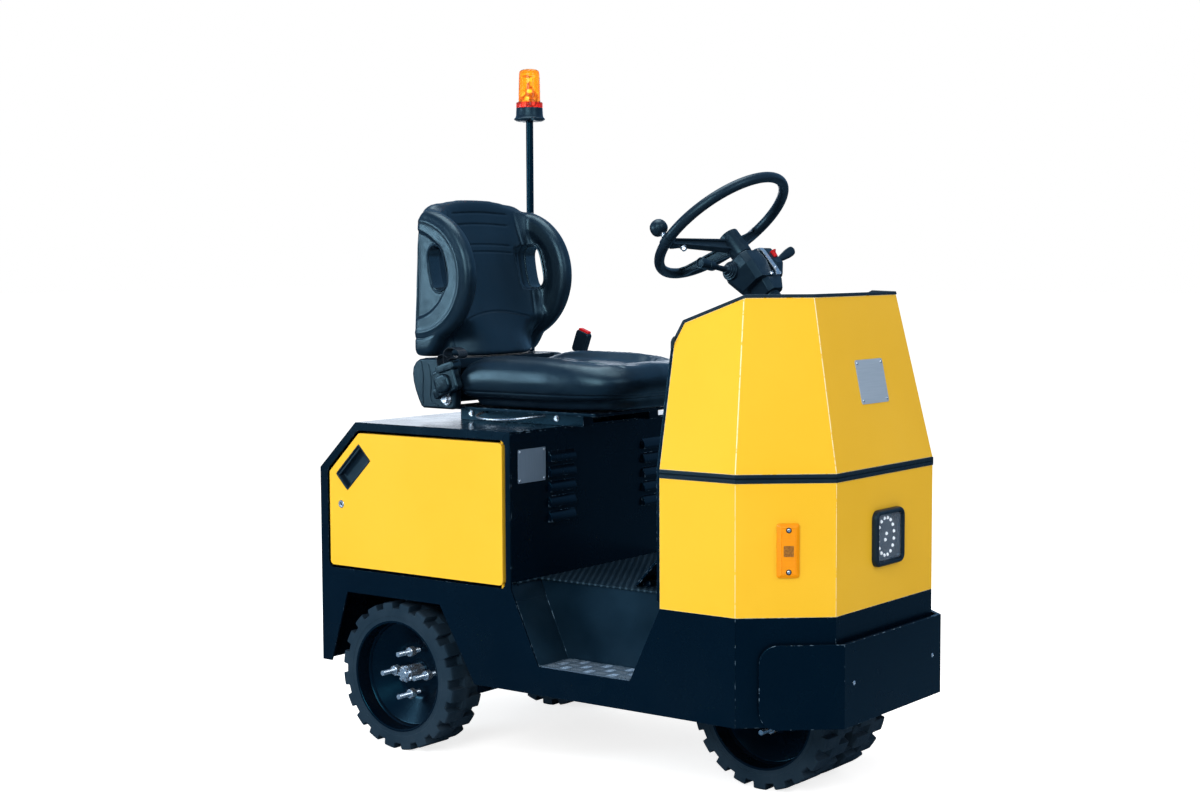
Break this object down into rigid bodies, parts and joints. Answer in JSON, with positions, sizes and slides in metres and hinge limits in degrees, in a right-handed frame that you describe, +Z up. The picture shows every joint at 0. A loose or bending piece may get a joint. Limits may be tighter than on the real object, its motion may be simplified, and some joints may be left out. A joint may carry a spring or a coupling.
{
  "type": "electric baggage tow tractor",
  "caption": "Compact sit-on electric baggage tug with a faceted nose cowl, steered twin front wheels, side doors, steps, seat and beacon",
  "frame": {"origin": "on the ground under the middle of the vehicle's overall length and width", "axes": "+X forward, +Y to the driver's left, +Z up"},
  "size_m": [1.687, 0.804, 1.902],
  "materials": {
    "yellow_paint": "gloss",
    "black_paint": "gloss",
    "floor_rubber": "matt",
    "aluminium_tread": "brushed",
    "black_rubber": "matt",
    "black_plastic": "satin",
    "seat_vinyl": "satin",
    "tyre_rubber": "matt",
    "clear_lens": "clear",
    "amber_lens": "gloss",
    "red_lens": "gloss"
  },
  "bodies": {
    "chassis": {"side_plates": "black_paint", "rear_plate": "black_paint", "deck": "black_paint", "box_front": "black_paint", "floor_plate": "floor_rubber", "step_wells": "black_paint", "step_treads": "aluminium_tread", "frame_rails": "black_paint", "nose_skirt": "black_paint", "lower_cowl": "yellow_paint", "belt_strip": "black_rubber", "upper_cowl": "yellow_paint", "cowl_trim": "black_rubber", "dash_panel": "black_paint", "bumper": "black_paint", "headlight_bezel": "black_rubber", "headlight_lens": "clear_lens", "marker_lamps": "amber_lens", "tail_lamps": "red_lens", "battery": "black_paint", "rear_axle": "black_paint", "drive_motor": "black_paint", "slew_ring": "black_paint", "steering_column": "black_plastic", "column_switches": "black_plastic", "pedals": "black_paint", "seat_rails": "black_paint", "seat_cushion": "seat_vinyl", "seat_backrest": "seat_vinyl", "seat_covers": "black_plastic", "seat_belt": "black_plastic", "beacon_pole": "black_paint", "beacon_lens": "amber_lens", "tow_hitch": "black_paint"},
    "door_right": {"door_right": "yellow_paint", "door_pull_right": "black_plastic"},
    "door_left": {"door_left": "yellow_paint", "door_pull_left": "black_plastic"},
    "wheel_rear_right": {"tyre_rear_right": "tyre_rubber", "rim_rear_right": "black_paint"},
    "wheel_rear_left": {"tyre_rear_left": "tyre_rubber", "rim_rear_left": "black_paint"},
    "steer_carrier": {"steer_carrier": "black_paint"},
    "wheels_front": {"tyres_front": "tyre_rubber", "rims_front": "black_paint"},
    "steering_wheel": {"steering_wheel": "black_plastic"}
  },
  "joints": [
    {"name": "steering_wheel_turn", "type": "hinge", "parent": "chassis", "child": "steering_wheel", "pos_m": [0.3305, 0, 1.42], "axis": [-0.6428, 0, 0.766], "range_deg": [-350, 350]},
    {"name": "steer_yaw", "type": "hinge", "parent": "chassis", "child": "steer_carrier", "pos_m": [0.5415, 0, 0.434], "axis": [0, 0, 1], "range_deg": [-70, 70]},
    {"name": "wheels_front_spin", "type": "hinge", "parent": "steer_carrier", "child": "wheels_front", "pos_m": [0.5415, 0, 0.203], "axis": [0, 1, 0], "continuous": true},
    {"name": "wheel_rear_right_spin", "type": "hinge", "parent": "chassis", "child": "wheel_rear_right", "pos_m": [-0.4715, -0.33, 0.203], "axis": [0, 1, 0], "continuous": true},
    {"name": "wheel_rear_left_spin", "type": "hinge", "parent": "chassis", "child": "wheel_rear_left", "pos_m": [-0.4715, 0.33, 0.203], "axis": [0, 1, 0], "continuous": true},
    {"name": "door_right_open", "type": "hinge", "parent": "chassis", "child": "door_right", "pos_m": [-0.0905, -0.39, 0.68], "axis": [0, 0, 1], "range_deg": [0, 95]},
    {"name": "door_left_open", "type": "hinge", "parent": "chassis", "child": "door_left", "pos_m": [-0.0905, 0.39, 0.68], "axis": [0, 0, -1], "range_deg": [0, 95]}
  ],
  "couplings": [
    {"joint": "steering_wheel_turn", "follows": "steer_yaw", "ratio": 5}
  ]
}
